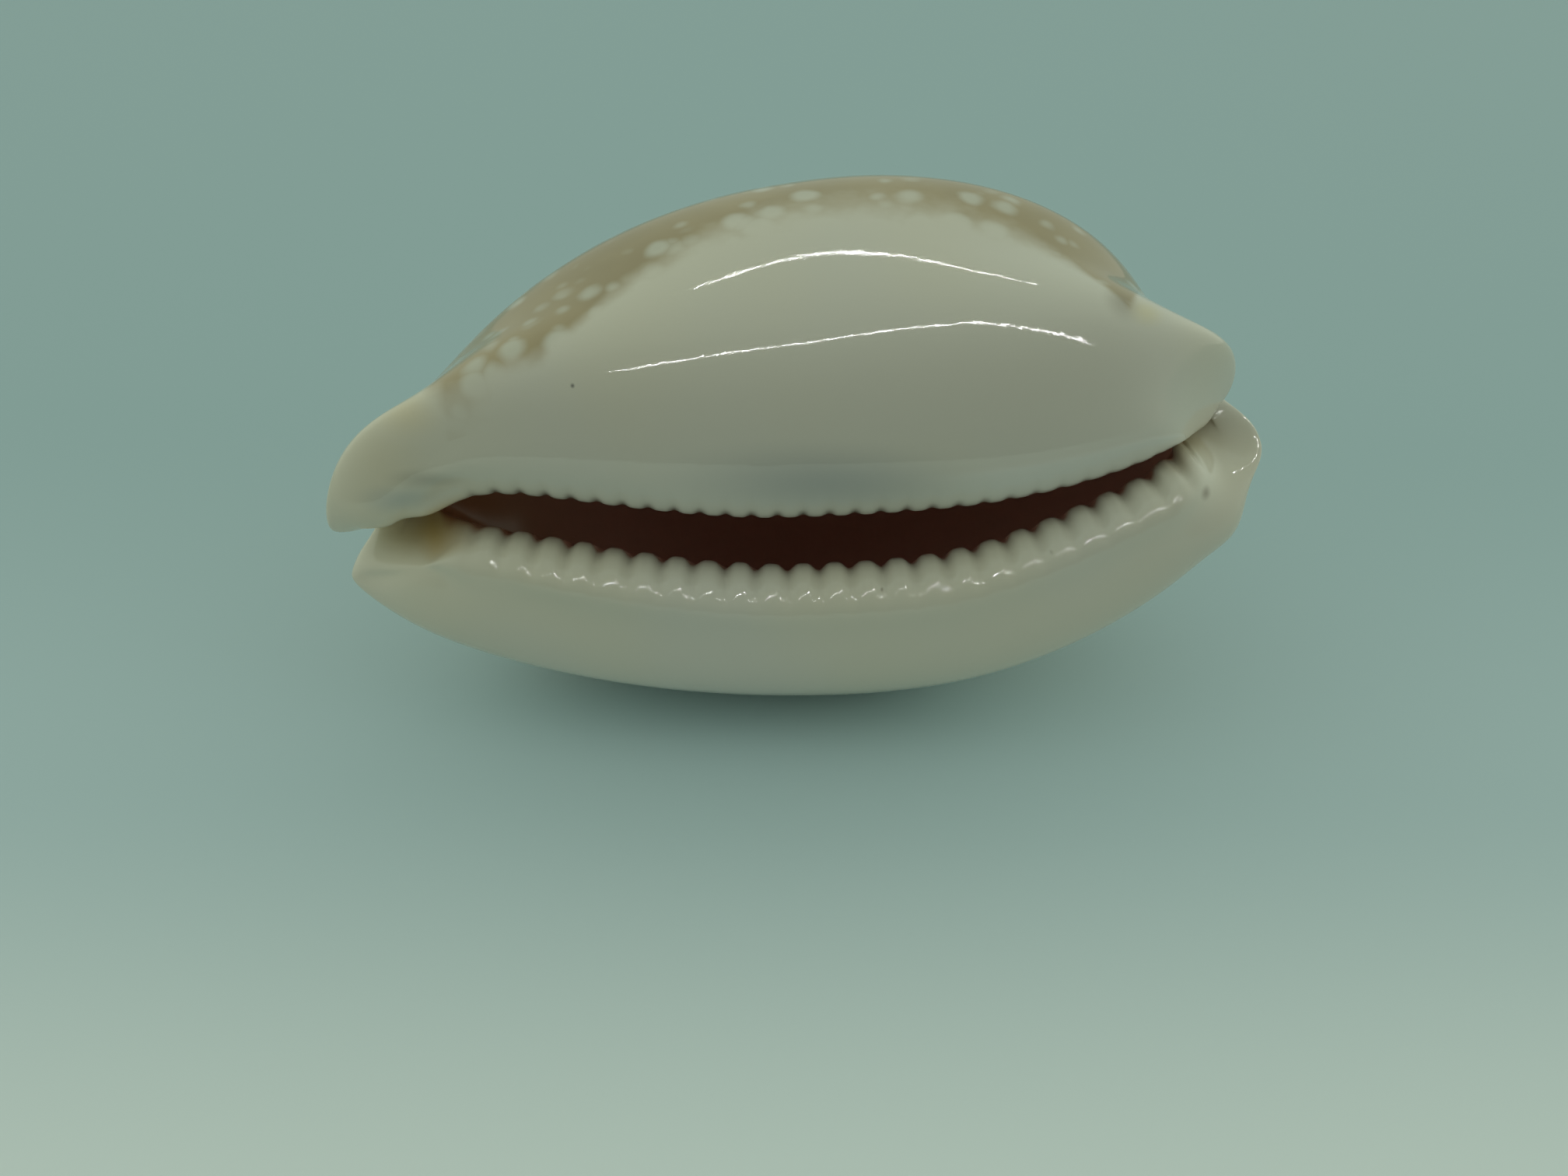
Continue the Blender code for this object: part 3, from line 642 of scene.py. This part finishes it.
# The gloss varies a little, and a faint ripple in the skin makes the highlights uneven.
gloss_noise = noise(tree, place_mm, GLOSS_NOISE, 3.0).outputs["Fac"]
rough = wired(tree, "ShaderNodeMapRange",
              {"Value": gloss_noise, "To Min": ROUGHNESS[0], "To Max": ROUGHNESS[1]}).outputs["Result"]
rough = worked(tree, "ADD", rough, worked(tree, "MULTIPLY", inside, INSIDE_DULLER))
tree.links.new(rough, porcelain.inputs["Roughness"])
ripple = noise(tree, place_mm, RIPPLE_NOISE, 3.0).outputs["Fac"]
ripple = worked(tree, "MULTIPLY", ripple, worked(tree, "MAXIMUM", callus_share, BACK_RIPPLE))
strip_step = worked(tree, "MULTIPLY", strip, STRIP_STEP)
skin = worked(tree, "ADD", worked(tree, "MULTIPLY", ripple, RIPPLE_DEPTH), strip_step)
uneven_skin = wired(tree, "ShaderNodeBump", {"Height": skin, "Strength": 1.0, "Distance": MM})
tree.links.new(uneven_skin.outputs["Normal"], porcelain.inputs["Normal"])

# The teeth: rounded ridges that the mantle's folds leave across both lips, coarse on the outer lip and
# fine on the inner one, where they fade out backwards. A node tree raises them from the smooth wall.
OUTER_TOOTH_HEIGHT = 0.5
INNER_TOOTH_HEIGHT = 0.15
# The share of the height that the last tooth at the back has left.
OUTER_LEFT_AT_BACK = 1.0
INNER_LEFT_AT_BACK = 0.3
# Places across the rails where a ridge starts, is full, holds to and ends.
OUTER_FADES = (6.7, 8.2, 8.5, 9.6)
INNER_FADES = (6.9, 7.6, 8.4, 9.6)
TEETH_GROW_IN = 2.5
# Of a tooth's height, this share is the gap sunk beside it, and the rest stands up as its crest. Teeth
# vary in height between these two shares.
GAP_SUNK = 0.6
TOOTH_VARIES = (0.86, 1.1)
TOOTH_SEED = 7
LIP_SIZES = ("Teeth", "Height", "Left At Back", "Starts At", "Full At", "Holds To", "Ends At")

ridge = bpy.data.node_groups.new("tooth_ridge", "GeometryNodeTree")
for name in ("Count Along Lip", "Across") + LIP_SIZES:
    ridge.interface.new_socket(name, in_out="INPUT", socket_type="NodeSocketFloat")
ridge.interface.new_socket("Seed", in_out="INPUT", socket_type="NodeSocketInt")
for name in ("Lift", "Ridge", "Gap"):
    ridge.interface.new_socket(name, in_out="OUTPUT", socket_type="NodeSocketFloat")
given = ridge.nodes.new("NodeGroupInput").outputs
last = worked(ridge, "SUBTRACT", given["Teeth"], 0.5)
count = wired(ridge, "ShaderNodeClamp",
              {"Value": given["Count Along Lip"], "Min": -0.5, "Max": last}).outputs[0]
wave = worked(ridge, "COSINE", worked(ridge, "MULTIPLY", count, 2.0 * math.pi))
dip = worked(ridge, "MULTIPLY", worked(ridge, "SUBTRACT", 1.0, wave), 0.5)
crest = worked(ridge, "SUBTRACT", 1.0, worked(ridge, "POWER", dip, 2.0))
rise_front = stepped(ridge, count, -0.5, TEETH_GROW_IN - 0.5)
rise_back = stepped(ridge, worked(ridge, "SUBTRACT", last, count), 0.0, TEETH_GROW_IN)
ends = worked(ridge, "MULTIPLY", rise_front, rise_back)
nth = worked(ridge, "ROUND", count)
vary = wired(ridge, "FunctionNodeRandomValue",
             {2: TOOTH_VARIES[0], 3: TOOTH_VARIES[1], "ID": nth, "Seed": given["Seed"]},
             {"data_type": "FLOAT"}).outputs[1]
half_way = worked(ridge, "MULTIPLY", given["Teeth"], 0.5)
to_back = stepped(ridge, count, half_way, given["Teeth"])
lost = worked(ridge, "MULTIPLY", to_back, worked(ridge, "SUBTRACT", 1.0, given["Left At Back"]))
left = worked(ridge, "SUBTRACT", 1.0, lost)
starts = stepped(ridge, given["Across"], given["Starts At"], given["Full At"])
stops = stepped(ridge, given["Across"], given["Holds To"], given["Ends At"])
shown = worked(ridge, "MULTIPLY", starts, worked(ridge, "SUBTRACT", 1.0, stops))
above = worked(ridge, "MULTIPLY", ends, worked(ridge, "SUBTRACT", crest, GAP_SUNK))
lift = worked(ridge, "MULTIPLY", above, worked(ridge, "MULTIPLY", shown, left))
lift = worked(ridge, "MULTIPLY", lift, worked(ridge, "MULTIPLY", given["Height"], vary))
gap = worked(ridge, "SUBTRACT", 1.0, crest)
gap = worked(ridge, "MULTIPLY", gap, worked(ridge, "MULTIPLY", ends, left))
gap = worked(ridge, "MULTIPLY", gap, starts)
wired(ridge, "NodeGroupOutput", {"Lift": lift, "Ridge": worked(ridge, "MULTIPLY", crest, shown), "Gap": gap})

lips = bpy.data.node_groups.new("toothed_lips", "GeometryNodeTree")
lips.interface.new_socket("Wall", in_out="INPUT", socket_type="NodeSocketGeometry")
for lip_name in ("Outer", "Inner"):
    for name in LIP_SIZES:
        lips.interface.new_socket(lip_name + " " + name, in_out="INPUT", socket_type="NodeSocketFloat")
lips.interface.new_socket("Seed", in_out="INPUT", socket_type="NodeSocketInt")
lips.interface.new_socket("Glaze", in_out="INPUT", socket_type="NodeSocketMaterial")
lips.interface.new_socket("Shell", in_out="OUTPUT", socket_type="NodeSocketGeometry")
taken = lips.nodes.new("NodeGroupInput").outputs


def wall_mark(name):
    """One of the wall's growth marks, read in the node tree of the lips."""
    return wired(lips, "GeometryNodeInputNamedAttribute", {"Name": name}, {"data_type": "FLOAT"}).outputs[0]


across_rails = wall_mark("across")
shape = taken["Wall"]
lift_of = {}
for lip_name in ("Outer", "Inner"):
    along_lip = wall_mark(lip_name.lower() + "_count")
    teeth_here = lips.nodes.new("GeometryNodeGroup")
    teeth_here.node_tree = ridge
    lips.links.new(along_lip, teeth_here.inputs["Count Along Lip"])
    lips.links.new(across_rails, teeth_here.inputs["Across"])
    lips.links.new(taken["Seed"], teeth_here.inputs["Seed"])
    for name in LIP_SIZES:
        lips.links.new(taken[lip_name + " " + name], teeth_here.inputs[name])
    lift_of[lip_name] = teeth_here.outputs["Lift"]
    for output, mark in (("Ridge", "_ridge"), ("Gap", "_gap")):
        to_keep = {"Geometry": shape, "Name": lip_name.lower() + mark, "Value": teeth_here.outputs[output]}
        kept = wired(lips, "GeometryNodeStoreNamedAttribute", to_keep,
                     {"data_type": "FLOAT", "domain": "POINT"})
        shape = kept.outputs["Geometry"]
whole_lift = worked(lips, "ADD", lift_of["Outer"], lift_of["Inner"])
outward = lips.nodes.new("GeometryNodeInputNormal").outputs["Normal"]
push = wired(lips, "ShaderNodeVectorMath", {0: outward, "Scale": whole_lift}, {"operation": "SCALE"})
raised = wired(lips, "GeometryNodeSetPosition", {"Geometry": shape, "Offset": push.outputs[0]})
real = wired(lips, "GeometryNodeRealizeInstances", {"Geometry": raised.outputs["Geometry"]})
glazed = wired(lips, "GeometryNodeSetMaterial",
               {"Geometry": real.outputs["Geometry"], "Material": taken["Glaze"]})
wired(lips, "NodeGroupOutput", {"Shell": glazed.outputs["Geometry"]})

smooth_wall = bpy.data.objects.new("smooth_wall", wall_mesh)
bpy.context.scene.collection.objects.link(smooth_wall)
toothed = smooth_wall.modifiers.new("toothed_lips", "NODES")
toothed.node_group = lips
tooth_sizes = {"Seed": TOOTH_SEED, "Glaze": glaze}
for lip_name, teeth, height, left_at_back, fades in (
        ("Outer", OUTER_TEETH[0], OUTER_TOOTH_HEIGHT, OUTER_LEFT_AT_BACK, OUTER_FADES),
        ("Inner", INNER_TEETH[0], INNER_TOOTH_HEIGHT, INNER_LEFT_AT_BACK, INNER_FADES)):
    for name, value in zip(LIP_SIZES, (float(teeth), height * MM, left_at_back) + fades):
        tooth_sizes[lip_name + " " + name] = value
for item in lips.interface.items_tree:
    if item.in_out == "INPUT" and item.name in tooth_sizes:
        toothed[item.identifier] = tooth_sizes[item.name]
# The raised wall becomes one plain mesh, and the modifier goes.
evaluated = smooth_wall.evaluated_get(bpy.context.evaluated_depsgraph_get())
shell_mesh = bpy.data.meshes.new_from_object(evaluated)
smooth_wall.modifiers.clear()
bpy.data.objects.remove(smooth_wall)
shell_mesh.name = "glazed_cowry"
cowry = bpy.data.objects.new("glazed_cowry", shell_mesh)
bpy.context.scene.collection.objects.link(cowry)
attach(cowry, "root")
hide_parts("cowry_shell")

# The floor is a plain pale grey-green board, wide enough to fill the view behind the shell. Its colour is
# painted paler towards the viewer, as painted light, and it ends there, just out of the picture. Its sizes
# are metres.
BOARD_EDGE_Y = -0.06
BOARD_REACH = 2.0
BOARD_PALER_Y = (0.035, -0.03)
BOARD_PALEST_Y = (-0.02, -0.06)
BOARD_ROUGHNESS = 0.75
BOARD_FAR = (0.43, 0.59, 0.62)
BOARD_MIDDLE = (0.55, 0.70, 0.74)
BOARD_NEAR = (0.91, 0.98, 0.98)
floor_mesh = bpy.data.meshes.new("pale_floor")
floor_corners = [(-BOARD_REACH, BOARD_EDGE_Y, 0), (BOARD_REACH, BOARD_EDGE_Y, 0),
                 (BOARD_REACH, BOARD_REACH, 0), (-BOARD_REACH, BOARD_REACH, 0)]
floor_mesh.from_pydata(floor_corners, [], [(0, 1, 2, 3)])
pale_floor = bpy.data.objects.new("pale_floor", floor_mesh)
bpy.context.scene.collection.objects.link(pale_floor)
board = bpy.data.materials.new("pale_board")
board.use_nodes = True
paint = board.node_tree
board_shader = paint.nodes["Principled BSDF"]
board_place = wired(paint, "ShaderNodeTexCoord", {}).outputs["Object"]
board_y = wired(paint, "ShaderNodeSeparateXYZ", {"Vector": board_place}).outputs["Y"]
# Painted light: the board's colour grows paler towards the viewer.
board_colour = laid_over(paint, stepped(paint, board_y, *BOARD_PALER_Y), BOARD_FAR, BOARD_MIDDLE)
board_colour = laid_over(paint, stepped(paint, board_y, *BOARD_PALEST_Y), board_colour, BOARD_NEAR)
paint.links.new(board_colour, board_shader.inputs["Base Color"])
board_shader.inputs["Roughness"].default_value = BOARD_ROUGHNESS
floor_mesh.materials.append(board)

# Studio light: a pale surround, brightest overhead and behind and at the two ends of the shell, and thin
# tubes. The tubes only show as reflections: the fine bright lines along the back and the shoulder, and
# the bright dots on the outer teeth.
LIGHT_FROM = (0.0, 0.55, 0.83)
LIGHT_FALLS_TO = -0.6
SKY_FRONT = 0.05
SKY_BACK = 0.54
SKY_ENDS = 0.48
SKY_ENDS_FROM = 0.3
SKY_COLOUR = (0.87, 1.0, 0.85, 1.0)
studio = bpy.data.worlds.new("studio_surround")
bpy.context.scene.world = studio
studio.use_nodes = True
surround = studio.node_tree
looking = surround.nodes.new("ShaderNodeTexCoord").outputs["Generated"]
towards = wired(surround, "ShaderNodeVectorMath", {0: looking, 1: LIGHT_FROM}, {"operation": "DOT_PRODUCT"})
sky_range = {"Value": towards.outputs["Value"], "From Min": LIGHT_FALLS_TO, "To Min": SKY_FRONT,
             "To Max": SKY_BACK}
brightness = wired(surround, "ShaderNodeMapRange", sky_range, {"interpolation_type": "SMOOTHSTEP"})
sideways = wired(surround, "ShaderNodeSeparateXYZ", {"Vector": looking}).outputs["X"]
to_ends = stepped(surround, worked(surround, "ABSOLUTE", sideways), SKY_ENDS_FROM, 1.0)
at_ends = worked(surround, "MULTIPLY", to_ends, SKY_ENDS)
brightness = worked(surround, "ADD", brightness.outputs["Result"], at_ends)
surround.nodes["Background"].inputs["Color"].default_value = SKY_COLOUR
surround.links.new(brightness, surround.nodes["Background"].inputs["Strength"])
# Each tube: its two ends, its width, all in millimetres, and its power in watts.
TUBES = {
    "back_tube":           ((-130.0, 165.0, 440.0), (150.0, 205.0, 425.0), 1.2, 0.15),
    "shoulder_tube":       ((-160.0, -323.0, 340.0), (90.0, -181.0, 444.0), 1.6, 0.22),
    "shoulder_end_tube":   ((82.0, -181.0, 444.0), (230.0, -335.0, 305.0), 1.6, 0.16),
}
SHELL_MIDDLE = Vector((0.0, 0.0, 18.0))
for name, (near_end, far_end, width, power) in TUBES.items():
    tube = bpy.data.lights.new(name, "AREA")
    tube.shape = "RECTANGLE"
    run = Vector(far_end) - Vector(near_end)
    centre = (Vector(near_end) + Vector(far_end)) / 2.0
    tube.size = run.length * MM
    tube.size_y = width * MM
    tube.energy = power
    lamp = bpy.data.objects.new(name, tube)
    lamp.visible_diffuse = False
    bpy.context.scene.collection.objects.link(lamp)
    along_tube = run.normalized()
    away = centre - SHELL_MIDDLE
    away = (away - along_tube * away.dot(along_tube)).normalized()
    facing = Matrix((along_tube, away.cross(along_tube), away)).transposed().to_4x4()
    lamp.matrix_world = Matrix.Translation(centre * MM) @ facing
bpy.context.scene.view_settings.view_transform = "Standard"
